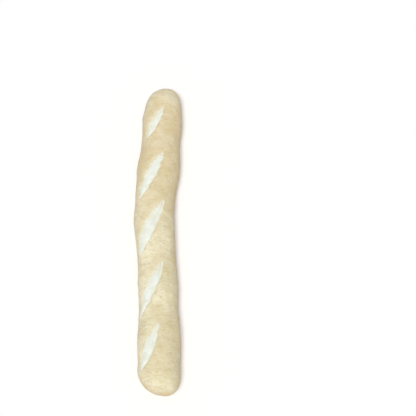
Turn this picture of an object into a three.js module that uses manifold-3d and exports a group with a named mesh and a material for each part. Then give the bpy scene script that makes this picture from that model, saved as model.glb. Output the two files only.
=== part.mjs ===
// A par-baked baguette: one loaf, baked in one piece, so one solid.
//
// Units are millimetres and +Z is up. The loaf lies on its flat sole along Y. The origin is under
// the middle of the loaf, on the surface that the sole rests on.
//
// The skin is a unit sphere whose every vertex is moved onto the loaf: the sphere's poles become the
// two rounded ends, its rings become the cross-sections. Five scores, the baker's slanting cuts, are
// then taken out of the top with leaf-shaped solids that hug the skin.
import * as THREE from "three";
import { mergeVertices } from "three/addons/utils/BufferGeometryUtils.js";
import Module from "manifold-3d";

// ---- The loaf's size ------------------------------------------------------------------------
const LENGTH = 560;
const WIDTH = 70; // the mean width, which swells and narrows a little along the loaf
const HEIGHT = 54;
const WAIST = 21; // height of the widest line above the sole
const SOLE_CUT = 3.2; // how much of the round underside the baking tray has pressed flat

// ---- How the dough has moved ------------------------------------------------------------------
const END_REACH = 38; // how far each rounded end reaches in from its tip
const END_BLUNT = 2.45; // 2 is an elliptical end, and more is blunter
const END_DROOP = 1.4; // above 1, an end seen from the side is rounder than seen from the top
const TIP_HEIGHT = 24;
const END_LEAN = 0.15; // slope of each end's face, whose +X side stands further out
const LEAN_SHARPNESS = 10;
const FAR_SHOULDER = 0.006; // how far each end's -X corner falls back, per square mm off the middle
const NEAR_SHOULDER = 0.007;
const SHOULDER_FROM = 0.78; // share of the half-length where a shoulder starts
const SHOULDER_FULL = 0.97;
const SWELLS = [
  // how: how far the half-width and the height swell; at: a fattest place; every: the next one
  { how: 2, at: 115, every: 400 }, // the way the dough was rolled
  { how: 1, at: 115, every: 103 }, // the loaf springs a little at each score
];
const BOW = 9; // sideways bow of the loaf's middle
const BOW_AT = 37;
const BOW_REACH = 95;
const SAG = 5; // the gentler bow from end to end

// ---- The section: a superellipse, squarer below the waist ---------------------------------------
const SQUARE_ABOVE = 2.15;
const SQUARE_BELOW = 2.6;

// ---- The scores ---------------------------------------------------------------------------------
const SCORE_DEPTH = 2.8;
const SCORE_LIFT = 0.3; // the leaf's edges stand this share of the depth above the skin
const SCORE_LEAN = 0.45; // the deepest line lies this share of the half-width towards the lip
const SCORE_POINT = 1.4; // 1 is a round-ended leaf, and more is more pointed
const SCORES = [
  // at: place along the loaf; side: place round the skin from the crest; half: half its length;
  // slant: degrees from the loaf's length; wide: half its width
  { at: 201, side: -8, half: 34, slant: 23, wide: 7 },
  { at: 96, side: -7, half: 48, slant: 21, wide: 9.4 },
  { at: -1, side: -6, half: 57, slant: 27, wide: 10 },
  { at: -109, side: -10, half: 57, slant: 27, wide: 9 },
  { at: -208, side: -13, half: 46, slant: 22, wide: 8.4 },
];

// ---- Facets ---------------------------------------------------------------------------------------
const SIDES = 40;
const RINGS = 60;
const END_RINGS = 0.1; // share of the rings that each rounded end takes
const SCORE_SIDES = 12;
const SCORE_RINGS = 16;
const WELD = 1e-5; // vertices of a unit sphere closer than this are one

const power = (value, exponent) => Math.sign(value) * Math.abs(value) ** exponent;

// Sideways place of the loaf's centre line.
function centreLine(y) {
  const along = (2 * y) / LENGTH;
  const bow = Math.exp(-(((y - BOW_AT) / BOW_REACH) ** 2));
  return -BOW * bow - SAG * (1 - along * along);
}

// How much fatter than the mean the loaf is here.
function swell(y) {
  const wave = ({ how, at, every }) => how * Math.cos((2 * Math.PI * (y - at)) / every);
  return SWELLS.reduce((sum, one) => sum + wave(one), 0);
}

// A ring's place along the loaf and its size, from 0 at the far tip to 1 at the near tip.
function station(share) {
  const fromEnd = Math.min(share, 1 - share);
  const side = share < 0.5 ? 1 : -1;
  if (fromEnd < END_RINGS) {
    const turn = ((fromEnd / END_RINGS) * Math.PI) / 2;
    const reach = END_REACH * power(Math.cos(turn), 2 / END_BLUNT);
    return { y: side * (LENGTH / 2 - END_REACH + reach), size: power(Math.sin(turn), 2 / END_BLUNT) };
  }
  const straight = (fromEnd - END_RINGS) / (0.5 - END_RINGS);
  return { y: side * (LENGTH / 2 - END_REACH) * (1 - straight), size: 1 };
}

// How far a point of an end moves outwards along the loaf, for its place aside of the centre line.
function endMove(y, aside) {
  const toEnd = Math.abs(2 * y) / LENGTH;
  const shoulder = y > 0 ? FAR_SHOULDER : NEAR_SHOULDER;
  const fallen = shoulder * Math.min(aside, 0) ** 2;
  const share = THREE.MathUtils.smoothstep(toEnd, SHOULDER_FROM, SHOULDER_FULL);
  return Math.sign(y) * (END_LEAN * aside * toEnd ** LEAN_SHARPNESS - fallen * share);
}

// A point of the skin. turn is the angle round the loaf from the crest, towards +X; proud lifts the
// point off the skin.
function skin(turn, y, size = 1, proud = 0) {
  const up = Math.cos(turn);
  const square = up > 0 ? SQUARE_ABOVE : SQUARE_BELOW;
  const halfWidth = WIDTH / 2 + swell(y) + proud;
  const reach = (up > 0 ? HEIGHT - WAIST + swell(y) : WAIST + SOLE_CUT) + proud;
  const x = halfWidth * power(Math.sin(turn), 2 / square);
  const z = WAIST + reach * power(up, 2 / square);
  const pressedFlat = Math.max(TIP_HEIGHT + size ** END_DROOP * (z - TIP_HEIGHT), 0);
  return new THREE.Vector3(centreLine(y) + size * x, y + endMove(y, size * x), pressedFlat);
}

// Every vertex of a unit sphere, handed to move() as its share of the way from the +Y pole to the
// -Y pole and its angle round from the top.
function movedSphere(sides, rings, move) {
  const sphere = new THREE.SphereGeometry(1, sides, rings);
  sphere.deleteAttribute("normal");
  sphere.deleteAttribute("uv");
  const geometry = mergeVertices(sphere, WELD);
  const place = geometry.getAttribute("position");
  const vertex = new THREE.Vector3();
  for (let i = 0; i < place.count; i += 1) {
    vertex.fromBufferAttribute(place, i);
    const share = Math.acos(THREE.MathUtils.clamp(vertex.y, -1, 1)) / Math.PI;
    const turn = Math.atan2(vertex.x, vertex.z);
    vertex.copy(move(share, turn));
    place.setXYZ(i, vertex.x, vertex.y, vertex.z);
  }
  return geometry;
}

function bodyGeometry() {
  return movedSphere(SIDES, RINGS, (share, turn) => {
    const { y, size } = station(share);
    return skin(turn, y, size);
  });
}

// The solid that one score takes out: a leaf, pointed at both ends, deepest towards its lip.
function scoreGeometry({ at, side, half, slant, wide }) {
  const roundTheLoaf = (WIDTH + HEIGHT) / 4; // a mean radius, which turns a length round into an angle
  const sine = Math.sin(THREE.MathUtils.degToRad(slant));
  const cosine = Math.cos(THREE.MathUtils.degToRad(slant));
  return movedSphere(SCORE_SIDES, SCORE_RINGS, (share, turn) => {
    const along = half * Math.cos(share * Math.PI);
    const leaf = Math.sin(share * Math.PI) ** SCORE_POINT;
    const lean = SCORE_LEAN * Math.max(-Math.cos(turn), 0);
    const across = wide * leaf * (Math.sin(turn) + lean);
    const proud = SCORE_DEPTH * leaf * (Math.cos(turn) + SCORE_LIFT);
    const y = at + along * cosine - across * sine;
    const round = side + along * sine + across * cosine;
    return skin(round / roundTheLoaf, y, 1, proud);
  });
}

const wasm = await Module();
wasm.setup();

function solid(geometry) {
  return new wasm.Manifold(
    new wasm.Mesh({
      numProp: 3,
      vertProperties: new Float32Array(geometry.getAttribute("position").array),
      triVerts: new Uint32Array(geometry.index.array),
    }),
  );
}

function geometryOf(manifold) {
  const mesh = manifold.getMesh();
  const geometry = new THREE.BufferGeometry();
  geometry.setAttribute("position", new THREE.BufferAttribute(mesh.vertProperties, mesh.numProp));
  geometry.setIndex(new THREE.BufferAttribute(mesh.triVerts, 1));
  geometry.computeVertexNormals();
  return geometry;
}

// Puts the origin under the middle of the loaf, at the sole.
function centred(geometry) {
  geometry.computeBoundingBox();
  const { min, max } = geometry.boundingBox;
  return geometry.translate(-(min.x + max.x) / 2, -(min.y + max.y) / 2, -min.z);
}

// The scores, cut out of the body one after the other.
const scored = SCORES.reduce(
  (body, score) => body.subtract(solid(scoreGeometry(score))),
  solid(bodyGeometry()),
);

const crust = new THREE.MeshStandardMaterial({ color: 0xe3d2a6, roughness: 0.85, metalness: 0 });
const loaf = new THREE.Mesh(centred(geometryOf(scored)), crust);
loaf.name = "loaf";

const baguette = new THREE.Group();
baguette.add(loaf);

export default baguette;
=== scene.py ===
# %% [markdown]
# # A par-baked baguette
#
# One long white loaf, taken out of the oven while it is still pale. It is a single piece of bread, so
# the whole lesson makes a single mesh: first the smooth dough, then the five scores that tore open in
# the oven, then the fine relief of the crust, and at last the crust's colour.
#
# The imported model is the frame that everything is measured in. Its box gives the loaf's length,
# width and height, and the main sizes below are shares of those three.

# %% The frame
import math
from collections import namedtuple

import bpy
import numpy as np
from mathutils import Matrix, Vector


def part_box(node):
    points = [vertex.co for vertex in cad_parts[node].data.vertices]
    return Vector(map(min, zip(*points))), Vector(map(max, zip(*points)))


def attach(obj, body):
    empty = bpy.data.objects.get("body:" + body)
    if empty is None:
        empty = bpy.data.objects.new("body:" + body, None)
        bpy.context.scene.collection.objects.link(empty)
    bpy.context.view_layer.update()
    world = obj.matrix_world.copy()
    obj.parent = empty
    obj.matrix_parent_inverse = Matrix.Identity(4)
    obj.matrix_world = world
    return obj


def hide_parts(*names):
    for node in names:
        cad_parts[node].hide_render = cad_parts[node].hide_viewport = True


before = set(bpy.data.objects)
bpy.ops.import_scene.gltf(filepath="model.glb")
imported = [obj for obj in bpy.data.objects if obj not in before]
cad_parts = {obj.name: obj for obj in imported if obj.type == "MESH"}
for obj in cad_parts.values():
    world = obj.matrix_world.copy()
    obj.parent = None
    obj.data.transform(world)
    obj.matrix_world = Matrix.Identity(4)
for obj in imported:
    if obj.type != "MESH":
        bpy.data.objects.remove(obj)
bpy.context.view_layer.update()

MM = 0.001
box_low, box_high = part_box("loaf")
box_size = box_high - box_low
print("box of the loaf in mm:", [round(side / MM, 1) for side in box_size])

# %% [markdown]
# ## The camera
#
# The loaf lies on a table and is looked at from above, a little from its near end. The camera is
# aimed at a point to the right of the loaf, so that the loaf stands left of the middle of its view.

# %% The camera
CAMERA_HEIGHT_ANGLE = math.radians(70.2)
CAMERA_TURN = math.radians(-0.45)
CAMERA_DISTANCE = 2.309 * box_size.y
CAMERA_WIDTH_ANGLE = math.radians(31.7)
aim = Vector((1.061 * box_size.x, 0.0741 * box_size.y, 0.53 * box_size.z))

camera_data = bpy.data.cameras.new("camera")
camera_data.sensor_fit = "HORIZONTAL"
camera_data.angle = CAMERA_WIDTH_ANGLE
camera = bpy.data.objects.new("camera", camera_data)
bpy.context.scene.collection.objects.link(camera)
bpy.context.scene.camera = camera
towards_camera = Vector((
    math.sin(CAMERA_TURN) * math.cos(CAMERA_HEIGHT_ANGLE),
    -math.cos(CAMERA_TURN) * math.cos(CAMERA_HEIGHT_ANGLE),
    math.sin(CAMERA_HEIGHT_ANGLE),
))
camera.location = aim + CAMERA_DISTANCE * towards_camera
camera.rotation_euler = (-towards_camera).to_track_quat("-Z", "Y").to_euler()
print("camera is", round(CAMERA_DISTANCE, 2), "m from its aim")

# %% [markdown]
# ## The body of the dough
#
# A baguette is rolled to a long cylinder and then slumps, so its section is a dome on a flat sole.
# The section here is a superellipse: a circle whose exponent is above 2 is squarer, and the half below
# the widest line is squarer than the half above. The loaf swells and thins a little along its length
# and bows to one side, which makes its box wider than the loaf, and both ends are blunt domes.
#
# A formula says all this more exactly than pushing vertices about, and the same formula can be asked
# for its normal or for a place on the skin, which the scores need.

# %% Sizes of the body
LENGTH = 0.998 * box_size.y
MEAN_WIDTH = 0.832 * box_size.x
MEAN_HEIGHT = 0.95 * box_size.z
WAIST = 0.37 * box_size.z  # height of the widest line
SOLE_CUT = 0.056 * box_size.z  # how much of the round underside the tray has pressed flat
SOLE_EDGE = 1.6 * MM  # how round the sole's edge is
END_REACH = 0.068 * LENGTH  # how far each dome reaches in from its tip
END_BLUNT = 2.45  # 2 is an elliptical end, and more is blunter
END_DROOP = 1.4  # above 1, an end seen from the side is rounder than seen from the top
TIP_HEIGHT = 0.424 * box_size.z
SQUARE_ABOVE = 2.15
SQUARE_BELOW = 2.6
BOW = 9 * MM
BOW_AT = 37 * MM
BOW_REACH = 95 * MM
SAG = 5 * MM  # the gentler bow from end to end
SWELLS = [
    # how far the half-width swells, a place where it is fattest, and how far to the next one
    (2.0 * MM, 115 * MM, 400 * MM),
    (1.0 * MM, 115 * MM, 103 * MM),
]
print("the body in mm:", round(LENGTH / MM), "by", round(MEAN_WIDTH / MM), "by", round(MEAN_HEIGHT / MM))


# %% The body as a formula
def power(value, exponent):
    """A power that keeps the sign of its base."""
    return np.sign(value) * np.abs(value) ** exponent


def centre_line(y):
    """Sideways place of the loaf's middle."""
    bow = np.exp(-(((y - BOW_AT) / BOW_REACH) ** 2))
    return -BOW * bow - SAG * (1 - (2 * y / LENGTH) ** 2)


def swell(y):
    """How much fatter than the mean the loaf is."""
    return sum(how * np.cos(2 * np.pi * (y - at) / every) for how, at, every in SWELLS)


def section(turn, fat):
    """Sideways and upward place on a section, for an angle round from the crest."""
    up = np.cos(turn)
    square = np.where(up > 0, SQUARE_ABOVE, SQUARE_BELOW)
    reach = np.where(up > 0, MEAN_HEIGHT - WAIST + fat, WAIST + SOLE_CUT)
    sideways = (MEAN_WIDTH / 2 + fat) * power(np.sin(turn), 2 / square)
    return sideways, WAIST + reach * power(up, 2 / square)


def pressed(height):
    """The tray stops whatever would hang below the floor, with a small round edge."""
    return (height + np.sqrt(height**2 + SOLE_EDGE**2)) / 2


print("the middle of the loaf lies", round(centre_line(0.0) / MM, 1), "mm aside")

# %% [markdown]
# ## Two rulers on the skin
#
# Angles are a poor ruler on a section that isn't round, so two tables turn real lengths along the skin
# into what the formula wants. A length `q` runs round the loaf from the crest, 0, to the middle of the
# sole on either side. A length `s` runs from the near tip over the near dome, along the loaf and over
# the far dome.

# %% The ruler round the loaf
ROUND_SAMPLES = 40001
turns = np.linspace(-np.pi, np.pi, ROUND_SAMPLES)
section_x, section_z = section(turns, 0.0)
steps = np.hypot(np.diff(section_x), np.diff(section_z))
round_the_loaf = np.concatenate([[0], np.cumsum(steps)])
HALF_ROUND = round_the_loaf[-1] / 2
round_the_loaf -= HALF_ROUND


def turn_at(q):
    """Angle round from the crest for a length q round the skin."""
    return np.interp(q, round_the_loaf, turns)


print("the skin is", round(2 * HALF_ROUND / MM), "mm round")

# %% The ruler from tip to tip
DOME_SAMPLES = 2001
dome = np.linspace(0, np.pi / 2, DOME_SAMPLES)
dome_size = power(np.sin(dome), 2 / END_BLUNT)
dome_y = LENGTH / 2 - END_REACH + END_REACH * power(np.cos(dome), 2 / END_BLUNT)
dome_steps = np.hypot(np.diff(dome_size) * MEAN_WIDTH / 2, np.diff(dome_y))
dome_length = np.concatenate([[0], np.cumsum(dome_steps)])
DOME = dome_length[-1]
TIP_TO_TIP = 2 * DOME + LENGTH - 2 * END_REACH


def station(s):
    """Place along the loaf and share of the full section, for a length s from the near tip."""
    from_end = np.minimum(s, TIP_TO_TIP - s)
    side = np.where(s < TIP_TO_TIP / 2, -1.0, 1.0)
    size = np.interp(from_end, dome_length, dome_size)
    on_dome = np.interp(from_end, dome_length, dome_y)
    y = np.where(from_end < DOME, on_dome, LENGTH / 2 - END_REACH - (from_end - DOME))
    return side * y, size


print("the skin is", round(TIP_TO_TIP / MM), "mm from tip to tip")

# %% [markdown]
# ## Lumps
#
# Dough is never as even as a formula. A sum of a few dozen waves with random directions and phases is
# a smooth random field that needs no library and is the same in each run, because it is seeded.

# %% Lumps
SHORTEST_WAVE = 1.2  # in hills, and a hill is half a wave
LONGEST_WAVE = 2.8


def lumps(points, size, seed, waves=32):
    """A smooth random field about one unit high, whose hills are about size across."""
    chance = np.random.default_rng(seed)
    direction = chance.normal(size=(waves, 3))
    direction /= np.linalg.norm(direction, axis=1)[:, None]
    length = size * chance.uniform(SHORTEST_WAVE, LONGEST_WAVE, waves)
    phase = chance.uniform(0, 2 * np.pi, waves)
    angle = points @ (direction * (2 * np.pi / length)[:, None]).T + phase
    return np.cos(angle).sum(1) * math.sqrt(2 / waves)


def wavy(y, size, seed):
    """A smooth random wiggle along the loaf, about one unit high."""
    return lumps(np.stack([y, 0 * y, 0 * y], axis=1), size / 2, seed, waves=12)


def smooth(low, high, value):
    """0 below low, 1 above high, and a smooth slope between."""
    t = np.clip((value - low) / (high - low), 0, 1)
    return t * t * (3 - 2 * t)


print("a quarter of the way up, a smooth step has reached", smooth(0, 1, 0.25))


# %% The uncut skin
def skin(q, s):
    """Points of the uncut loaf, a length q round from the crest and s from the near tip."""
    y, size = station(s)
    sideways, height = section(turn_at(q), swell(y))
    height = pressed(TIP_HEIGHT + size**END_DROOP * (height - TIP_HEIGHT))
    return np.stack([centre_line(y) + size * sideways, y, height], axis=1)


def wrap(q):
    """A length round the skin, brought back to between the sole's middle and itself."""
    return (q + HALF_ROUND) % (2 * HALF_ROUND) - HALF_ROUND


def normals(q, s, step=0.25 * MM):
    """Outward normals of the uncut loaf."""
    round_it = skin(wrap(q + step), s) - skin(wrap(q - step), s)
    along_it = skin(q, s + step) - skin(q, s - step)
    across = np.cross(round_it, along_it)
    return across / np.maximum(np.linalg.norm(across, axis=1), 1e-12)[:, None]


crest_middle = skin(np.zeros(1), np.full(1, TIP_TO_TIP / 2))[0]
print("the crest's middle in mm:", np.round(crest_middle / MM, 1))

# %% [markdown]
# ## A grid that runs with the scores
#
# The loaf is a closed quad grid: rings round it, lines along it, and a square grid over each tip
# in place of a pole, where two hundred thin triangles would meet. The lines don't run straight: they
# wind round the loaf at the slant of the scores, so that a line can follow each torn edge from end to
# end, and the edge stays crisp where a straight grid would cut it into steps.

# %% Sizes of the grid
LINES = 192
RINGS = 470
WIND = math.tan(math.radians(25))
CAP = 22 * MM  # how far from a tip the skin is a square grid
CAP_SIDE = LINES // 4
line_gap = 2 * HALF_ROUND / LINES
ring_gap = (TIP_TO_TIP - 2 * CAP) / RINGS
print("grid in mm:", round(line_gap / MM, 2), "by", round(ring_gap / MM, 2))


# %% The tips' square grids
def cap_disc(side):
    """A square grid pressed into a disc: each grid point's share of the radius and of a turn."""
    u, v = np.meshgrid(np.linspace(-1, 1, side + 1), np.linspace(-1, 1, side + 1), indexing="ij")
    wide = np.abs(u) >= np.abs(v)
    radius = np.where(wide, u, v)
    slope = np.where(wide, v, u) / np.where(radius == 0, 1, radius)
    angle = np.where(wide, 0.0, np.pi / 2) + np.where(wide, 1, -1) * np.pi / 4 * slope
    angle = np.where(radius < 0, angle + np.pi, angle)
    return np.abs(radius), (angle / (2 * np.pi)) % 1.0


def cap_corners(ring_first, inner_first, share, side):
    """Vertex numbers of a cap's grid: its rim is a ring that exists, and its inside is new."""
    number = np.zeros((side + 1, side + 1), int)
    number[1:-1, 1:-1] = inner_first + np.arange((side - 1) ** 2).reshape(side - 1, side - 1)
    rim = np.ones_like(number, bool)
    rim[1:-1, 1:-1] = False
    number[rim] = ring_first + np.rint(share[rim] * LINES).astype(int) % LINES
    return number


def quads(corner):
    """The four corners of every square of a grid."""
    four = (corner[:-1, :-1], corner[:-1, 1:], corner[1:, 1:], corner[1:, :-1])
    return np.stack(four, axis=2).reshape(-1, 4)


cap_radius, cap_share = cap_disc(CAP_SIDE)
print("each tip has", CAP_SIDE**2, "squares")

# %% The whole grid
ring_number, line_number = np.meshgrid(np.arange(RINGS + 1), np.arange(LINES), indexing="ij")
inner_radius = cap_radius[1:-1, 1:-1].ravel()
inner_share = cap_share[1:-1, 1:-1].ravel()
share = np.concatenate([(line_number / LINES).ravel(), inner_share, inner_share])
s = np.concatenate([
    (CAP + ring_number * ring_gap).ravel(),
    inner_radius * CAP,
    TIP_TO_TIP - inner_radius * CAP,
])

tube_count = (RINGS + 1) * LINES
near_cap = cap_corners(0, tube_count, cap_share, CAP_SIDE)
far_cap = cap_corners(RINGS * LINES, tube_count + (CAP_SIDE - 1) ** 2, cap_share, CAP_SIDE)
tube = np.arange(tube_count).reshape(RINGS + 1, LINES)
tube = np.concatenate([tube, tube[:, :1]], axis=1)
faces = np.concatenate([quads(tube), quads(near_cap), quads(far_cap)[:, ::-1]])

# Where every vertex lies before the grid winds and before a score draws it aside.
q0 = HALF_ROUND * (2 * share - 1)
y0, size0 = station(s)
print(len(share), "vertices and", len(faces), "faces")

# %% [markdown]
# ## The scores
#
# A blade held low slits the dough at a slant. In the oven the slit opens into a leaf: the crumb wells
# up inside it, joins the skin smoothly on one side, and on the other side the skin lifts as a thin,
# torn lip with a shadow under it. Bakers call that lip the ear.
#
# Each score is a row of five values. The grid lines nearest to it are first drawn sideways until one
# of them lies on the lip. Then the rows beside that line take the places of the ear's outline.

# %% Where the scores are
Score = namedtuple("Score", "at side half slant half_width")
SCORES = [
    # place along the loaf, place round it, half-length, slant in degrees, and half-width
    Score(201 * MM, -8 * MM, 35 * MM, 23, 6.8 * MM),
    Score(96 * MM, -7 * MM, 48 * MM, 21, 9.2 * MM),
    Score(-1 * MM, -6 * MM, 58 * MM, 27, 10.2 * MM),
    Score(-109 * MM, -10.5 * MM, 57 * MM, 26.5, 9.0 * MM),
    Score(-208 * MM, -13.5 * MM, 46 * MM, 22, 8.6 * MM),
]
print(len(SCORES), "scores, the longest", round(2 * max(score.half for score in SCORES) / MM), "mm")

# %% The leaf and its two edges
LEAF_SKEW = 0.15  # the near half of a leaf is a little fuller than the far half
EDGE_WANDERS = 0.7 * MM
LIP_WAVE = 11 * MM
LIP_SEED = 31
MERGE_WAVE = 14 * MM
MERGE_SEED = 61


def reach_along(score):
    """How far a score reaches along the loaf from its middle."""
    return score.half * math.cos(math.radians(score.slant))


def leaf(number, score, y):
    """Share of the way to a tip, half-width, torn lip and merging edge, all for a place y."""
    u = (y - score.at) / reach_along(score)
    opening = np.clip(1 - u**2, 0, None) * (1 - LEAF_SKEW * u)
    width = score.half_width * opening / math.cos(math.radians(score.slant))
    axis = score.side + math.tan(math.radians(score.slant)) * (y - score.at)
    wander = EDGE_WANDERS * np.minimum(1, 2 * opening)
    lip = axis + width + wander * wavy(y, LIP_WAVE, LIP_SEED + number)
    merge = axis - width + wander * wavy(y, MERGE_WAVE, MERGE_SEED + number)
    return u, width, lip, merge


widest = [2 * leaf(number, score, y0)[1].max() / MM for number, score in enumerate(SCORES)]
print("the scores' widths in mm:", np.round(widest, 1))

# %% [markdown]
# ### From the grid to the torn dough
#
# Two rulers are used at once: millimetres round the skin, which give the leaf its width, and rows of
# the grid counted from the lip, which give the ear its outline. How far the leaf is open at a place
# scales everything, so both tips of a score heal into the skin by themselves.

# %% Drawing a grid line onto the lip
DRAWN_WHOLE = 7 * MM  # lines this near to the lip's line move all the way with it
DRAWN = 24 * MM  # lines further off than this stay where they are
DRAWN_PAST_TIPS = 26 * MM


def drawn_onto(lip, score, q0, y):
    """How far each vertex is drawn round the loaf, and how far it is off the lip's line."""
    wanted = score.side + score.half_width / 2 - WIND * score.at
    line = HALF_ROUND * (2 * np.rint((wanted / HALF_ROUND + 1) / 2 * LINES) / LINES - 1)
    off_line = wrap(q0 - line)
    held = 1 - smooth(DRAWN_WHOLE, DRAWN, np.abs(off_line))
    held *= 1 - smooth(0, DRAWN_PAST_TIPS, np.abs(y - score.at) - reach_along(score))
    return held * wrap(lip - line - WIND * y), off_line


print("lines are drawn up to", round(DRAWN / line_gap), "rows off the lip")

# %% The ear
# Its outline, from the crumb to the skin behind the lip. Row 0 is the torn edge. Each row says how far
# it is drawn towards the crumb and how high it stands above the uncut skin, in mm.
EAR = [
    (-9, 0, -1.2),
    (-7, -0.2, -1.5),
    (-5, -0.5, -1.75),
    (-4, -0.7, -1.75),
    (-3, -0.8, -1.5),
    (-2, -0.9, -0.8),
    (-1, -0.4, 0.1),
    (0, 0.6, 0.75),
    (1, 0.9, 1.1),
    (2, 0.9, 1.2),
    (3, 0.8, 1.2),
    (5, 0.6, 1.05),
    (8, 0.3, 0.8),
    (12, 0, 0.5),
    (18, 0, 0.2),
    (30, 0, 0),
]
EAR_ROWS, EAR_SHIFT, EAR_UP = np.array(EAR, float).T
print("the ear stands", EAR_UP.max(), "mm high over a tuck", -EAR_UP.min(), "mm deep")

# %% The ear's torn edge
NOTCHES = 5
NOTCH_DEEP = 0.55
NOTCH_WIDE = 1.6 * MM
NOTCH_SEED = 90
UNEVEN_WAVE = 8 * MM
UNEVEN_SEED = 120
TORN_AWAY = 0.65  # share of the ear's height that is lost where its edge is torn off


def whole_edge(number, score, y):
    """How whole the torn edge is along the loaf, about 1, and less in the notches."""
    chance = np.random.default_rng(NOTCH_SEED + number)
    notch = np.ones_like(y)
    for place in score.at + reach_along(score) * chance.uniform(-0.8, 0.8, NOTCHES):
        notch -= NOTCH_DEEP * np.exp(-(((y - place) / NOTCH_WIDE) ** 2))
    uneven = np.clip(1 + 0.3 * wavy(y, UNEVEN_WAVE, UNEVEN_SEED + number), 0.4, 1.5)
    return uneven * np.clip(notch, 0.2, 1)


def ear_height(row, whole):
    """How far a row stands above the uncut skin, less near a torn edge that isn't whole."""
    at_edge = smooth(-1.6, -0.4, row) * (1 - smooth(1, 6, row))
    return np.interp(row, EAR_ROWS, EAR_UP) * MM * (1 - TORN_AWAY * at_edge * (1 - whole))


print("a torn edge that is gone leaves", round(float(ear_height(0.0, 0.0)) / MM, 2), "mm of height")

# %% The crumb's hollow
CRUMB_DEEP = 1.85 * MM
CRUMB_UP = 0.9 * MM
RIM_UP = 0.3 * MM
RIM_WIDE = 1.3 * MM
RIM_OUT = 1.0 * MM  # how far outside the merging edge the rim runs


def crumb_height(part):
    """The crumb's height for a share of the leaf's width, from 0 at the lip to 1 where it merges."""
    welling = CRUMB_UP * np.sin(np.pi * smooth(0.25, 1, part))
    return welling - CRUMB_DEEP * (1 - smooth(0.16, 1.0, part))


def rim_height(past_merge):
    """The height of a low rim of skin, for a length past the merging edge into the leaf."""
    return RIM_UP * np.exp(-(((past_merge + RIM_OUT) / RIM_WIDE) ** 2))


print("halfway across a leaf the crumb lies", round(crumb_height(0.5) / MM, 2), "mm off the skin")

# %% Masks of one score
# Places are measured from the merging edge, and below 0 is outside the leaf.
CRUMB_STARTS = -4.4 * MM
CRUMB_WHOLE = 3.4 * MM
THIN_STARTS = -13 * MM
THIN_WHOLE = 2 * MM
FEATHER = 1.4 * MM
FEATHER_LUMPS = 2.6 * MM
FEATHER_SEED = 150
HILL_ROWS = 1.7
ZONE = 40 * MM  # nothing of a score is seen further off its line than this


def hill(row, at):
    """A mask that is 1 at a row and fades within a few rows of it."""
    return np.exp(-(((row - at) / HILL_ROWS) ** 2))


def masks_of(row, past_merge, feather, width, opened, to_tip):
    """Crumb with a feathered edge, ear, tuck that carries painted shade, and the thin skin a little way
    beyond the crumb.
    """
    crumb = smooth(CRUMB_STARTS, CRUMB_WHOLE, past_merge + feather) * (row < -0.5)
    thin = smooth(THIN_STARTS, THIN_WHOLE, past_merge + 2 * feather) * (1 - smooth(-1, 2, row))
    in_leaf = to_tip > 0
    return {
        "crumb": crumb * smooth(0, 1.6 * MM, width) * in_leaf,
        "ear": hill(row, 0.6) * opened * in_leaf,
        "tuck": hill(row, -2.2) * opened * in_leaf,
        "thin": thin * smooth(-0.15, 0.35, to_tip),
    }


print("thin skin reaches", round(-THIN_STARTS / MM), "mm beyond the crumb")

# %% Opening one score
FULLY_OPEN = 9 * MM  # a leaf this wide has its ear and its crumb at full height


def open_score(number, score, q0, y):
    """What one score does at every vertex: its sideways move, its lift and its masks."""
    u, width, lip, merge = leaf(number, score, y)
    drawn, off_line = drawn_onto(lip, score, q0, y)
    row = off_line / line_gap
    opened = smooth(0, FULLY_OPEN, 2 * width) ** 0.8
    shift = -np.interp(row, EAR_ROWS, EAR_SHIFT) * MM * opened
    q = wrap(q0 + WIND * y + drawn + shift)

    # Beside the line the ear's outline holds, and beyond it the crumb's hollow.
    part = np.clip((lip - q) / np.maximum(2 * width, 0.5 * MM), 0, 1)
    beside = smooth(-5, -3, row)
    ear = ear_height(row, whole_edge(number, score, y))
    lift = (beside * ear + (1 - beside) * crumb_height(part)) * opened
    lift += rim_height(q - merge) * opened * (row < -3)

    in_zone = np.abs(off_line) < ZONE
    to_tip = 1 - np.abs(u)
    feather = FEATHER * lumps(skin(q, s), FEATHER_LUMPS, FEATHER_SEED + number)
    masks = masks_of(row, q - merge, feather, width, opened, to_tip)
    masks = {name: mask * in_zone for name, mask in masks.items()}
    lift *= (to_tip > 0) & in_zone
    return drawn + shift, lift * (1 - smooth(30, 38, np.abs(row))), masks


middle_lift = open_score(2, SCORES[2], q0, y0)[1] / MM
print("the middle score's ear and hollow in mm:", np.round([middle_lift.max(), middle_lift.min()], 2))

# %% All the scores
side_move = np.zeros_like(q0)
lift = np.zeros_like(q0)
masks = {name: np.zeros_like(q0) for name in ("crumb", "ear", "tuck", "thin")}
for number, score in enumerate(SCORES):
    moved, lifted, masks_here = open_score(number, score, q0, y0)
    side_move += moved
    lift += lifted
    for name, mask in masks_here.items():
        masks[name] = np.maximum(masks[name], mask)
masks["tip"] = 1 - size0
q = wrap(q0 + WIND * y0 + side_move)
print("crumb shows on", round(100 * float((masks["crumb"] > 0.5).mean()), 1), "% of the vertices")

# %% [markdown]
# ## Dough isn't even
#
# Between the far score and the tip the skin has folded into a short crease. Broad lumps come from
# shaping by hand, finer ones from gas under the skin. They fade out on the sole, because the tray holds
# that flat. The ends lean a little to one side and one corner of each falls back, as on any loaf that
# was shaped by hand.

# %% A crease
CREASE_Y = 248 * MM
CREASE_Q = 9 * MM
CREASE_HALF = 5 * MM
CREASE_WIDE = 0.9 * MM
CREASE_DEEP = 0.6 * MM
crease = np.exp(-(((y0 - CREASE_Y) / CREASE_HALF) ** 2) - ((q - CREASE_Q) / CREASE_WIDE) ** 2)
lift -= CREASE_DEEP * crease
print("the crease is", round(2 * CREASE_HALF / MM), "mm long")

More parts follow.
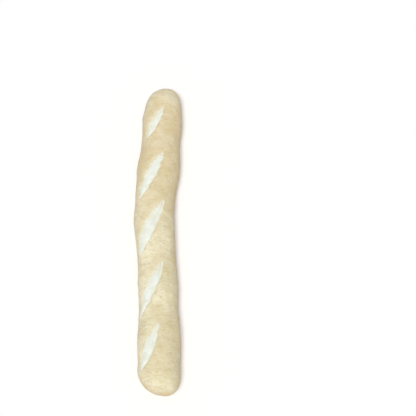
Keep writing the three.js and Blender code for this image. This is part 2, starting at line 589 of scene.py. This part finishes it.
# %% Lumps of the skin
BROAD_LUMPS = 34 * MM
BROAD_HEIGHT = 0.55 * MM
BROAD_SEED = 5
FINE_LUMPS = 11 * MM
FINE_HEIGHT = 0.22 * MM
FINE_SEED = 6
LUMP_FREE = 9 * MM  # the lumps are whole above this height
points = skin(q, s)
off_sole = smooth(0, LUMP_FREE, points[:, 2])
uneven = BROAD_HEIGHT * lumps(points, BROAD_LUMPS, BROAD_SEED)
uneven += FINE_HEIGHT * lumps(points, FINE_LUMPS, FINE_SEED)
points += normals(q, s) * (lift + off_sole * uneven)[:, None]
print("the lumps reach", round(float(np.abs(uneven).max() / MM), 1), "mm off the even skin")

# %% Leaning ends
END_LEAN = 0.15
LEAN_SHARPNESS = 10
FAR_SHOULDER = 0.006 / MM
NEAR_SHOULDER = 0.007 / MM
SHOULDER_FROM = 0.78  # share of the half-length where a shoulder starts
SHOULDER_FULL = 0.97
to_end = points[:, 1] / (LENGTH / 2)
aside = points[:, 0] - centre_line(points[:, 1])
shoulder = np.where(to_end > 0, FAR_SHOULDER, NEAR_SHOULDER) * np.minimum(aside, 0) ** 2
shoulder *= smooth(SHOULDER_FROM, SHOULDER_FULL, np.abs(to_end))
lean = END_LEAN * aside * np.abs(to_end) ** LEAN_SHARPNESS
points[:, 1] += np.sign(to_end) * (lean - shoulder)
print("the ends lean up to", round(float(lean.max() / MM), 1), "mm")

# %% [markdown]
# ### The place in the frame
#
# The lumps have changed the loaf's size a little. So it is set down on the floor and centred over the
# frame's box, and the same helper does that once more after the relief is raised.


# %% The place in the frame
def into_box(points):
    """Stands the points on the floor and centres them over the frame's box."""
    middle = (points.min(0) + points.max(0)) / 2
    points[:, 0] += (box_low.x + box_high.x) / 2 - middle[0]
    points[:, 1] += (box_low.y + box_high.y) / 2 - middle[1]
    points[:, 2] += box_low.z - points[:, 2].min()
    return points


points = into_box(points)
print("dough in mm:", np.round((points.max(0) - points.min(0)) / MM, 1))

# %% [markdown]
# ## The mesh
#
# The grid's own rings and lines give the map on which the finish is baked: the loaf is slit along one
# line and cut in the middle, its two halves lie side by side, and the two tips' squares lie above them.

# %% The map of the skin
STRIP = (0.49, 0.90)
TIP_SQUARE = 0.08
MAP_GAP = 0.005
ABOVE_STRIPS = STRIP[1] + 3 * MAP_GAP
HALF_RINGS = RINGS // 2


def spread(across, along):
    """Corner places of every square of a grid, in the unit square."""
    u, v = np.meshgrid(np.linspace(0, 1, along + 1), np.linspace(0, 1, across + 1), indexing="ij")
    return np.stack([quads(v), quads(u)], axis=2)


strip = spread(LINES, HALF_RINGS) * STRIP
tip_map = spread(CAP_SIDE, CAP_SIDE) * TIP_SQUARE
skin_map = np.concatenate([
    strip + (MAP_GAP, MAP_GAP),
    strip + (MAP_GAP + 0.5, MAP_GAP),
    tip_map + (MAP_GAP, ABOVE_STRIPS),
    tip_map[:, ::-1] + (0.5 + MAP_GAP, ABOVE_STRIPS),
])
print("the map fills u and v up to", np.round(skin_map.reshape(-1, 2).max(0), 3))

# %% The mesh
mesh = bpy.data.meshes.new("loaf_dough")
mesh.from_pydata(points.tolist(), [], faces.tolist())
mesh.shade_smooth()
mesh.uv_layers.new(name="OFBake").data.foreach_set("uv", skin_map.ravel())
for name, values in masks.items():
    layer = mesh.attributes.new(name, "FLOAT", "POINT")
    layer.data.foreach_set("value", np.clip(values, 0, 1).astype(np.float32))
loaf_dough = bpy.data.objects.new("loaf_dough", mesh)
bpy.context.scene.collection.objects.link(loaf_dough)
print("made", mesh.name, "with", len(mesh.polygons), "faces")

# %% [markdown]
# ## Building node trees in a script
#
# Both kinds of tree below, the one that raises the crust's relief and the ones that colour it, are
# built by the same few helpers. `add` places a node, sets its options, and fills or links its inputs.

# %% Placing a node
def add(tree, kind, inputs=None, **options):
    """Adds a node to a tree. An input is given a value, or another node's output to be linked to."""
    node = tree.nodes.new(kind)
    for name, value in options.items():
        setattr(node, name, value)
    for name, value in (inputs or {}).items():
        if isinstance(value, bpy.types.NodeSocket):
            tree.links.new(value, node.inputs[name])
        else:
            node.inputs[name].default_value = value
    return node


print("nodes are placed by", add.__name__)


# %% Nodes that are used often
NOISE_FIT = 0.6  # a noise whose scale is this over a size makes patches of about that size
NOISE_ROUGHNESS = 0.55


def maths(tree, operation, first, second=0.0, third=0.0):
    """The output of a Math node."""
    return add(tree, "ShaderNodeMath", {0: first, 1: second, 2: third}, operation=operation).outputs[0]


def vectors(tree, operation, first, second=(0.0, 0.0, 0.0), output=0):
    """The output of a Vector Math node."""
    return add(tree, "ShaderNodeVectorMath", {0: first, 1: second}, operation=operation).outputs[output]


def ramp(tree, value, low, high, to_low=0.0, to_high=1.0):
    """A smooth step from to_low at low to to_high at high."""
    inputs = {"Value": value, "From Min": low, "From Max": high, "To Min": to_low, "To Max": to_high}
    return add(tree, "ShaderNodeMapRange", inputs, interpolation_type="SMOOTHSTEP").outputs[0]


def noise(tree, place, size, detail):
    """A noise whose patches are about size across. The size may be a number or a socket."""
    return add(tree, "ShaderNodeTexNoise", {
        "Vector": place,
        "Scale": maths(tree, "DIVIDE", NOISE_FIT, size),
        "Detail": detail,
        "Roughness": NOISE_ROUGHNESS,
    }).outputs[0]


print("their outputs are given by", ", ".join(node.__name__ for node in (maths, vectors, ramp, noise)))

# %% A new tree
NUMBER = "NodeSocketFloat"
VECTOR = "NodeSocketVector"


def new_tree(name, kind, inputs, outputs):
    """A node group with named inputs and outputs, and the sockets of its two end nodes."""
    tree = bpy.data.node_groups.new(name, kind)
    for direction, sockets in (("INPUT", inputs), ("OUTPUT", outputs)):
        for socket_name, socket_kind, *default in sockets:
            made = tree.interface.new_socket(socket_name, in_out=direction, socket_type=socket_kind)
            if default:
                made.default_value = default[0]
    return tree, tree.nodes.new("NodeGroupInput").outputs, tree.nodes.new("NodeGroupOutput").inputs


print("a number's socket is a", NUMBER)

# %% [markdown]
# ## The relief of the crust
#
# Three things stand out of the skin of a par-baked loaf. Gas makes small low blisters all over it,
# steam wrinkles it crosswise, and the holes of the baking tray leave rows of dots on the sole.
#
# All three repeat over a surface, which is what Geometry Nodes do well. Points are scattered over the
# whole skin and every vertex asks for the nearest of them, so a blister costs no faces of its own.

# %% The relief tree and where it works
relief, given, result = new_tree("crust_relief", "GeometryNodeTree", [
    ("Geometry", "NodeSocketGeometry"),
    ("Blister gap", NUMBER, 5 * MM),
    ("Blister size", NUMBER, 2 * MM),
    ("Blister height", NUMBER, 0.3 * MM),
    ("Wrinkle gap", NUMBER, 4 * MM),
    ("Wrinkle height", NUMBER, 0.2 * MM),
    ("Tray gap", NUMBER, 7 * MM),
    ("Tray dot", NUMBER, 1.6 * MM),
    ("Tray depth", NUMBER, 0.5 * MM),
    ("Seed", "NodeSocketInt", 1),
    ("Finish", "NodeSocketMaterial"),
], [("Geometry", "NodeSocketGeometry")])
relief.is_modifier = True


def named(name):
    """A value that the mesh carries by name."""
    return add(relief, "GeometryNodeInputNamedAttribute", {"Name": name}).outputs["Attribute"]


def store(geometry, name, value):
    """Keeps a value on the geometry by name."""
    inputs = {"Geometry": geometry, "Name": name, "Value": value}
    return add(relief, "GeometryNodeStoreNamedAttribute", inputs).outputs[0]


place = relief.nodes.new("GeometryNodeInputPosition").outputs[0]
facing = relief.nodes.new("GeometryNodeInputNormal").outputs[0]
height_here = add(relief, "ShaderNodeSeparateXYZ", {0: place}).outputs["Z"]
facing_up = add(relief, "ShaderNodeSeparateXYZ", {0: facing}).outputs["Z"]
is_low = ramp(relief, height_here, 1.5 * MM, 5 * MM, 1, 0)
on_sole = maths(relief, "MULTIPLY", is_low, ramp(relief, facing_up, -0.9, -0.6, 1, 0))
off_crumb = maths(relief, "SUBTRACT", 1, named("crumb"))
on_crust = maths(relief, "MULTIPLY", off_crumb, maths(relief, "SUBTRACT", 1, on_sole))
print("relief tree has", len(given) - 1, "inputs")

# %% Blisters: how far each vertex is from the nearest scattered point, against that point's own size
SMALLEST_BLISTER = 0.35  # as a share of the largest
MOST_BLISTERS = 60000.0  # in a square metre, were they not kept apart by their gap
scattered = add(relief, "GeometryNodeDistributePointsOnFaces", {
    "Mesh": given["Geometry"],
    "Distance Min": given["Blister gap"],
    "Density Max": MOST_BLISTERS,
    "Seed": given["Seed"],
}, distribute_method="POISSON").outputs["Points"]
size_of_each = add(relief, "FunctionNodeRandomValue", {
    2: SMALLEST_BLISTER,
    3: 1.0,
    "Seed": given["Seed"],
})
sized = store(scattered, "blister_size", size_of_each.outputs[1])
nearest = add(relief, "GeometryNodeSampleNearest", {"Geometry": sized}).outputs[0]


def of_nearest(value, kind):
    """What a value is at the nearest scattered point."""
    inputs = {"Geometry": sized, "Value": value, "Index": nearest}
    return add(relief, "GeometryNodeSampleIndex", inputs, data_type=kind).outputs[0]


its_size = of_nearest(named("blister_size"), "FLOAT")
away = vectors(relief, "DISTANCE", place, of_nearest(place, "FLOAT_VECTOR"), output="Value")
radius = maths(relief, "MULTIPLY", its_size, given["Blister size"])
low_dome = ramp(relief, maths(relief, "DIVIDE", away, radius), 0, 1, 1, 0)
blister = maths(relief, "MULTIPLY", maths(relief, "MULTIPLY", low_dome, its_size), on_crust)
print("with its blisters, the relief tree has", len(relief.nodes), "nodes")

# %% Wrinkles: noise that is drawn out round the loaf, so that it changes quickest along it
drawn_out = vectors(relief, "MULTIPLY", place, (0.3, 1.0, 0.3))
uneven_skin = maths(relief, "SUBTRACT", noise(relief, drawn_out, given["Wrinkle gap"], 3.0), 0.5)
wrinkle = maths(relief, "MULTIPLY", uneven_skin, on_crust)
print("with its wrinkles, the relief tree has", len(relief.nodes), "nodes")

# %% Tray dots: two lattices, one shifted by half a gap, so that each row is set off from the next
flat_place = vectors(relief, "MULTIPLY", place, (1, 1, 0))
lattice = add(relief, "ShaderNodeCombineXYZ", {
    0: given["Tray gap"],
    1: maths(relief, "MULTIPLY", given["Tray gap"], math.sqrt(3)),
    2: 1.0,
}).outputs[0]
half_lattice = vectors(relief, "MULTIPLY", lattice, (0.5, 0.5, 0))
from_dots = []
for start in (flat_place, vectors(relief, "ADD", flat_place, half_lattice)):
    wrapped = {0: start, 1: lattice, 2: (0, 0, 0)}
    cell = add(relief, "ShaderNodeVectorMath", wrapped, operation="WRAP").outputs[0]
    from_middle = vectors(relief, "SUBTRACT", cell, half_lattice)
    from_dots.append(vectors(relief, "LENGTH", from_middle, output="Value"))
to_dot = maths(relief, "DIVIDE", maths(relief, "MINIMUM", *from_dots), given["Tray dot"])
dot = maths(relief, "MULTIPLY", ramp(relief, to_dot, 0.7, 1.3, 1, 0), on_sole)
print("with its dots, the relief tree has", len(relief.nodes), "nodes")

# %% The sum, along the normal: the sole is first pressed in, so that its dots end where it was
in_dot = maths(relief, "SUBTRACT", dot, on_sole)
raised = maths(relief, "MULTIPLY", blister, given["Blister height"])
raised = maths(relief, "MULTIPLY_ADD", wrinkle, given["Wrinkle height"], raised)
raised = maths(relief, "MULTIPLY_ADD", in_dot, given["Tray depth"], raised)
moved = add(relief, "ShaderNodeVectorMath", {0: facing, "Scale": raised}, operation="SCALE").outputs[0]
shaped = add(relief, "GeometryNodeSetPosition", {
    "Geometry": given["Geometry"],
    "Offset": moved,
}).outputs[0]
for name, value in (("blister", blister), ("sole", on_sole), ("dot", dot)):
    shaped = store(shaped, name, value)
shaped = add(relief, "GeometryNodeRealizeInstances", {"Geometry": shaped}).outputs[0]
shaped = add(relief, "GeometryNodeSetMaterial", {
    "Geometry": shaped,
    "Material": given["Finish"],
}).outputs[0]
relief.links.new(shaped, result["Geometry"])
print("the whole relief tree has", len(relief.nodes), "nodes")

# %% [markdown]
# ## What the finishes share
#
# The crust, the crumb and the sole all need two things at several scales: soft uneven patches, and
# small round specks scattered at random. Each is a node group that is built once and given its own
# sizes wherever it is used, in metres, so that a pattern can't drift away from its real scale.

# %% Patches
patches, given, result = new_tree("patches", "ShaderNodeTree", [
    ("Vector", VECTOR),
    ("Size", NUMBER, 10 * MM),
    ("Detail", NUMBER, 3.0),
    ("Low", NUMBER, 0.4),
    ("High", NUMBER, 0.6),
], [("Mask", NUMBER)])
patch_noise = noise(patches, given["Vector"], given["Size"], given["Detail"])
patches.links.new(ramp(patches, patch_noise, given["Low"], given["High"]), result["Mask"])
print(patches.name, "has", len(patches.nodes), "nodes")

# %% Specks
specks, given, result = new_tree("specks", "ShaderNodeTree", [
    ("Vector", VECTOR),
    ("Gap", NUMBER, 3 * MM),
    ("Radius", NUMBER, 0.5 * MM),
    ("Share", NUMBER, 0.5),
], [("Mask", NUMBER)])
cells = add(specks, "ShaderNodeTexVoronoi", {
    "Vector": given["Vector"],
    "Scale": maths(specks, "DIVIDE", 1.0, given["Gap"]),
})
chance_of_each = add(specks, "ShaderNodeSeparateColor", {0: cells.outputs["Color"]}).outputs
from_middle = maths(specks, "MULTIPLY", cells.outputs["Distance"], given["Gap"])
own_share = ramp(specks, chance_of_each[0], 0, 1, 0.5, 1.3)
own_radius = maths(specks, "MULTIPLY", given["Radius"], own_share)
round_speck = ramp(specks, maths(specks, "DIVIDE", from_middle, own_radius), 0.6, 1.1, 1, 0)
is_there = maths(specks, "LESS_THAN", chance_of_each[1], given["Share"])
specks.links.new(maths(specks, "MULTIPLY", round_speck, is_there), result["Mask"])
print(specks.name, "has", len(specks.nodes), "nodes")

# %% [markdown]
# ## One material, laid on in layers
#
# The loaf is one piece with one skin, so it has one material. Crust, crumb and sole are mixed inside it
# by masks that the mesh carries, and each of them is a stack of layers: a tone over what is below it, a
# mask that says where, and a share that says how much.

# %% The material and its tones
finish = bpy.data.materials.new("baked_dough")
finish.use_nodes = True
dough = finish.node_tree
surface = dough.nodes["Principled BSDF"]
where = dough.nodes.new("ShaderNodeTexCoord").outputs["Object"]


def linear(value):
    """How much light a screen gives for a value from 0 to 1."""
    return value / 12.92 if value <= 0.04045 else ((value + 0.055) / 1.055) ** 2.4


def tone(red, green, blue):
    """A colour as a painter's eye gives it, from 0 to 255, as the shader wants it."""
    return (*(linear(value / 255) for value in (red, green, blue)), 1.0)


print("a middle grey gives", round(linear(0.5), 2), "of a white's light")


# %% Masks
def grouped(group, **sizes):
    """The mask that one use of a shared pattern gives. Its sizes are given by name."""
    node = dough.nodes.new("ShaderNodeGroup")
    node.node_tree = group
    dough.links.new(sizes.pop("vector", where), node.inputs["Vector"])
    for name, value in sizes.items():
        node.inputs[name.capitalize()].default_value = value
    return node.outputs["Mask"]


def masked(name):
    """A mask that the mesh carries."""
    return add(dough, "ShaderNodeAttribute", attribute_name=name).outputs["Fac"]


def both(first, second):
    """Where two masks overlap. Either may be a plain number."""
    return maths(dough, "MULTIPLY", first, second)


def outside(mask):
    """Where a mask isn't."""
    return maths(dough, "SUBTRACT", 1, mask)


print("masks come from the groups", patches.name, "and", specks.name, "and from the mesh:", *masks)


# %% Layers
def blend(below, above, mask, share=1.0):
    """One colour over another where the mask is, as much as its share says."""
    node = add(dough, "ShaderNodeMix", {0: both(mask, share)}, data_type="RGBA")
    for socket, colour in ((6, below), (7, above)):
        if isinstance(colour, bpy.types.NodeSocket):
            dough.links.new(colour, node.inputs[socket])
        else:
            node.inputs[socket].default_value = colour
    return node.outputs[2]


print("the finish starts with", len(dough.nodes), "nodes")

# %% [markdown]
# ## The crust's colour
#
# A par-baked crust is pale straw, with nothing of the chestnut brown that the second baking gives. It
# isn't one colour, though. Broad patches are a little warmer, and the far half, short of its tip, is
# more golden. The tips and the ears have begun to turn golden. The low sides are golden too, partly as
# the bake of the sole's edge and partly as painted shade that darkens the sides towards the floor.
# Beside a score the skin was stretched thin and stays pale. Small freckles are drawn out crosswise, a
# few bake spots are darker, and a breath of flour has settled on the upper side.

# %% Tones and masks of the crust
PALE_STRAW = tone(236, 229, 200)
WARM_STRAW = tone(221, 210, 172)
GOLDEN = tone(206, 176, 122)
FLOUR = tone(235, 230, 210)
FRECKLE = tone(202, 182, 136)
THIN_SKIN = tone(236, 229, 199)

crosswise = vectors(dough, "MULTIPLY", where, (0.42, 1.0, 0.42))
here = add(dough, "ShaderNodeSeparateXYZ", {0: where}).outputs
far_half = ramp(dough, here["Y"], -60 * MM, 160 * MM)
short_of_tip = ramp(dough, here["Y"], 190 * MM, 265 * MM, 1, 0.45)
# The low sides: a golden bake at the sole's edge and painted shade that darkens the sides.
side_gold_and_shade = ramp(dough, here["Z"], 10 * MM, 47 * MM, 1, 0)
crumb_mask = masked("crumb")
sole_mask = masked("sole")
print("pale straw as light:", [round(part, 2) for part in PALE_STRAW[:3]])

# %% Heat and freckles
crust = blend(PALE_STRAW, WARM_STRAW, grouped(patches, size=38 * MM, low=0.38, high=0.62))
mottle = grouped(patches, size=7 * MM, low=0.42, high=0.68, detail=6.0)
crust = blend(crust, WARM_STRAW, mottle, share=0.7)
crust = blend(crust, GOLDEN, both(far_half, short_of_tip), share=0.42)
small_freckles = grouped(patches, vector=crosswise, size=1.5 * MM, low=0.48, high=0.72)
crust = blend(crust, FRECKLE, small_freckles, share=0.6)
large_freckles = grouped(patches, vector=crosswise, size=4.5 * MM, low=0.5, high=0.7, detail=6.0)
crust = blend(crust, FRECKLE, large_freckles, share=0.45)
crust = blend(crust, GOLDEN, ramp(dough, masked("tip"), 0.0, 0.7), share=0.5)
# Bake and painted shade together: the low sides turn golden and darker towards the floor.
crust = blend(crust, GOLDEN, side_gold_and_shade, share=0.8)
crust = blend(crust, THIN_SKIN, masked("thin"), share=0.7)
crust = blend(crust, PALE_STRAW, ramp(dough, masked("blister"), 0.0, 0.8), share=0.15)
print("so far the finish has", len(dough.nodes), "nodes")

# %% Specks, bake spots, flour and the golden ears
small_specks = grouped(specks, gap=3.2 * MM, radius=0.5 * MM, share=0.5)
crust = blend(crust, FRECKLE, small_specks, share=0.5)
bake_spots = grouped(specks, gap=15 * MM, radius=1.7 * MM, share=0.4)
crust = blend(crust, GOLDEN, bake_spots, share=0.45)
dusted = grouped(patches, size=12 * MM, low=0.45, high=0.65, detail=8.0)
powder = grouped(patches, size=1.1 * MM, low=0.42, high=0.6, detail=4.0)
settled = both(both(dusted, powder), outside(side_gold_and_shade))
crust = blend(crust, FLOUR, settled, share=0.4)
toasted = both(masked("ear"), grouped(patches, size=6 * MM, low=0.4, high=0.6))
crust = blend(crust, GOLDEN, toasted, share=0.4)
print("with the crust, the finish has", len(dough.nodes), "nodes")

# %% [markdown]
# ## The crumb in the scores
#
# Inside a score the dough was stretched open, so it is whiter and smoother than the crust, with small
# pores and with faint strands that run aslant across the cut. The pores are real holes, darkened with
# painted shade, and the tuck under the ear gets a darker cream, which is painted shade.

# %% The crumb
CRUMB_WHITE = tone(233, 238, 230)
CRUMB_CREAM = tone(227, 229, 214)
# Painted shade: the darker cream in the tuck under the ear.
TUCK_PAINTED_SHADE = tone(230, 218, 186)
# Painted shade inside the pores, which are real holes.
PORE_PAINTED_SHADE = tone(208, 207, 182)

turned = add(dough, "ShaderNodeVectorRotate", {
    "Vector": where,
    "Angle": math.radians(-25),
}, rotation_type="Z_AXIS").outputs[0]
stretched = vectors(dough, "MULTIPLY", turned, (0.35, 1.0, 0.35))
inner = blend(CRUMB_WHITE, CRUMB_CREAM, grouped(patches, size=9 * MM, low=0.42, high=0.64))
strands = grouped(patches, vector=stretched, size=1.8 * MM, low=0.4, high=0.7)
inner = blend(inner, CRUMB_CREAM, strands, share=0.6)
pores = grouped(specks, gap=2.1 * MM, radius=0.36 * MM, share=0.4)
# The pores are darkened with painted shade.
inner = blend(inner, PORE_PAINTED_SHADE, pores, share=0.2)
# The tuck under the ear is darkened with painted shade.
inner = blend(inner, TUCK_PAINTED_SHADE, masked("tuck"), share=0.6)
colour = blend(crust, inner, crumb_mask)
print("with the crumb, the finish has", len(dough.nodes), "nodes")

# %% [markdown]
# ## The sole
#
# The sole lay on hot perforated steel. It is darker and smoother than the top, and the dots that bulged
# into the tray's holes stayed paler, because air reached them.

# %% The sole
SOLE_TAN = tone(214, 186, 134)
SOLE_DARK = tone(196, 162, 108)
sole = blend(SOLE_TAN, SOLE_DARK, grouped(patches, size=18 * MM, low=0.4, high=0.65))
sole = blend(sole, PALE_STRAW, masked("dot"), share=0.55)
colour = blend(colour, sole, sole_mask)
dough.links.new(colour, surface.inputs["Base Color"])
print("with the sole, the finish has", len(dough.nodes), "nodes")

# %% [markdown]
# ## Gloss and grain
#
# Bread is matte. The sole is a little smoother and the crumb is rougher still, and a fine grain that is
# too small for the mesh goes into a bump, together with pits in the crust and pores in the crumb. The
# constant values, such as the faint light that soaks into the dough, are set on the shader itself.

# %% Grain
grain = grouped(patches, size=2.2 * MM, low=0.25, high=0.75)
pits = grouped(specks, gap=4.5 * MM, radius=0.4 * MM, share=0.45)
STANDS_OUT = [
    # a mask, and how far it stands out in mm, or goes in
    (grouped(patches, size=0.7 * MM, low=0.2, high=0.8), 0.2),
    (grain, 0.34),
    (both(pits, outside(crumb_mask)), -0.3),
    (both(pores, crumb_mask), -0.35),
    (both(strands, crumb_mask), -0.3),
]
height = 0.0
for mask, out in STANDS_OUT:
    height = maths(dough, "MULTIPLY_ADD", mask, out, height)
bump = add(dough, "ShaderNodeBump", {"Height": height, "Strength": 1.0, "Distance": MM})
dough.links.new(bump.outputs[0], surface.inputs["Normal"])
print("the bump has", len(STANDS_OUT), "kinds of grain")

# %% Gloss and the light that soaks in
CRUST_ROUGHNESS = 0.66
ROUGHER = [
    # a mask, and how much it adds to the roughness
    (grain, 0.12),
    (crumb_mask, 0.12),
    (sole_mask, -0.12),
]
roughness = CRUST_ROUGHNESS
for mask, more in ROUGHER:
    roughness = maths(dough, "MULTIPLY_ADD", mask, more, roughness)
dough.links.new(roughness, surface.inputs["Roughness"])
surface.inputs["Specular IOR Level"].default_value = 0.35
surface.inputs["Subsurface Weight"].default_value = 0.1
surface.inputs["Subsurface Radius"].default_value = (1.0, 0.7, 0.4)
surface.inputs["Subsurface Scale"].default_value = 2.5 * MM
surface.inputs["Sheen Weight"].default_value = 0.1
surface.inputs["Sheen Roughness"].default_value = 0.6
print("finish has", len(dough.nodes), "nodes")

# %% [markdown]
# ## Raising the relief
#
# The tree is put on the dough as a modifier. Its inputs are set by the sockets' identifiers, the object
# is evaluated once, and the result is kept as a plain mesh, which is the finished loaf.

# %% The relief, raised
RELIEF = {
    "Blister gap": 4.5 * MM,
    "Blister size": 2.3 * MM,
    "Blister height": 0.28 * MM,
    "Wrinkle gap": 3.6 * MM,
    "Wrinkle height": 1.2 * MM,
    "Tray gap": 7 * MM,
    "Tray dot": 1.7 * MM,
    "Tray depth": 0.5 * MM,
    "Seed": 12,
    "Finish": finish,
}
modifier = loaf_dough.modifiers.new("relief", "NODES")
modifier.node_group = relief
for socket in relief.interface.items_tree:
    if socket.in_out == "INPUT" and socket.name in RELIEF:
        modifier[socket.identifier] = RELIEF[socket.name]

scene_state = bpy.context.evaluated_depsgraph_get()
baked = bpy.data.meshes.new_from_object(loaf_dough.evaluated_get(scene_state))
bpy.data.objects.remove(loaf_dough)
baked.name = "baguette_loaf"
print("the relief is raised on", len(baked.vertices), "vertices")

# %% The finished loaf
places = np.empty(len(baked.vertices) * 3, np.float32)
baked.vertices.foreach_get("co", places)
places = into_box(places.reshape(-1, 3))
baked.vertices.foreach_set("co", places.ravel())
baked.update()
loaf = bpy.data.objects.new("baguette_loaf", baked)
bpy.context.scene.collection.objects.link(loaf)
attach(loaf, "root")
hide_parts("loaf")
loaf_size = places.max(0) - places.min(0)
print("loaf has", len(baked.polygons), "faces, in mm:", np.round(loaf_size / MM, 1))

# %% [markdown]
# ## Floor and light
#
# A white floor, an even sky and one soft lamp, so far off that it lights the whole loaf alike. It hangs
# high over the near end, a little to the left, so the crown is bright, the right side falls off softly
# and the loaf throws a faint shadow. The sky is seen brighter than it lights: a sky that lit as much as
# it shows would wash out the roundness, and a dim one would be a grey band in a low view.

# %% The floor
FLOOR = 8 * LENGTH
floor_mesh = bpy.data.meshes.new("floor")
corners = [(-FLOOR, -FLOOR, 0), (FLOOR, -FLOOR, 0), (FLOOR, FLOOR, 0), (-FLOOR, FLOOR, 0)]
floor_mesh.from_pydata(corners, [], [(0, 1, 2, 3)])
floor = bpy.data.objects.new("floor", floor_mesh)
bpy.context.scene.collection.objects.link(floor)
paper = bpy.data.materials.new("white_paper")
paper.use_nodes = True
paper.node_tree.nodes["Principled BSDF"].inputs["Base Color"].default_value = (0.9, 0.9, 0.9, 1)
paper.node_tree.nodes["Principled BSDF"].inputs["Roughness"].default_value = 0.9
floor_mesh.materials.append(paper)
print("the floor is", round(2 * FLOOR, 1), "m wide")

# %% The sky
SKY_LIGHT = 0.34
SKY_SEEN = 0.9
sky = bpy.data.worlds.new("sky")
sky.use_nodes = True
background = sky.node_tree.nodes["Background"]
background.inputs["Color"].default_value = (1.0, 1.0, 1.0, 1)
seen = add(sky.node_tree, "ShaderNodeLightPath").outputs["Is Camera Ray"]
strength = maths(sky.node_tree, "MULTIPLY_ADD", seen, SKY_SEEN - SKY_LIGHT, SKY_LIGHT)
sky.node_tree.links.new(strength, background.inputs["Strength"])
bpy.context.scene.world = sky
bpy.context.scene.view_settings.view_transform = "Standard"
print("the sky lights with", SKY_LIGHT, "and is seen at", SKY_SEEN)

# %% The lamp
LAMP_FROM = Vector((-0.15, -0.75, 2.4))
LAMP_STRENGTH = 2.55
LAMP_WIDTH_ANGLE = math.radians(28)  # how wide the lamp looks from the table, which makes it soft
lamp_data = bpy.data.lights.new("window", "SUN")
lamp_data.energy = LAMP_STRENGTH
lamp_data.angle = LAMP_WIDTH_ANGLE
lamp = bpy.data.objects.new("window", lamp_data)
bpy.context.scene.collection.objects.link(lamp)
lamp.location = LAMP_FROM * LENGTH
lamp.rotation_euler = (-LAMP_FROM).to_track_quat("-Z", "Y").to_euler()
print("the lamp stands", round(math.degrees(math.asin(LAMP_FROM.normalized().z))), "degrees high")
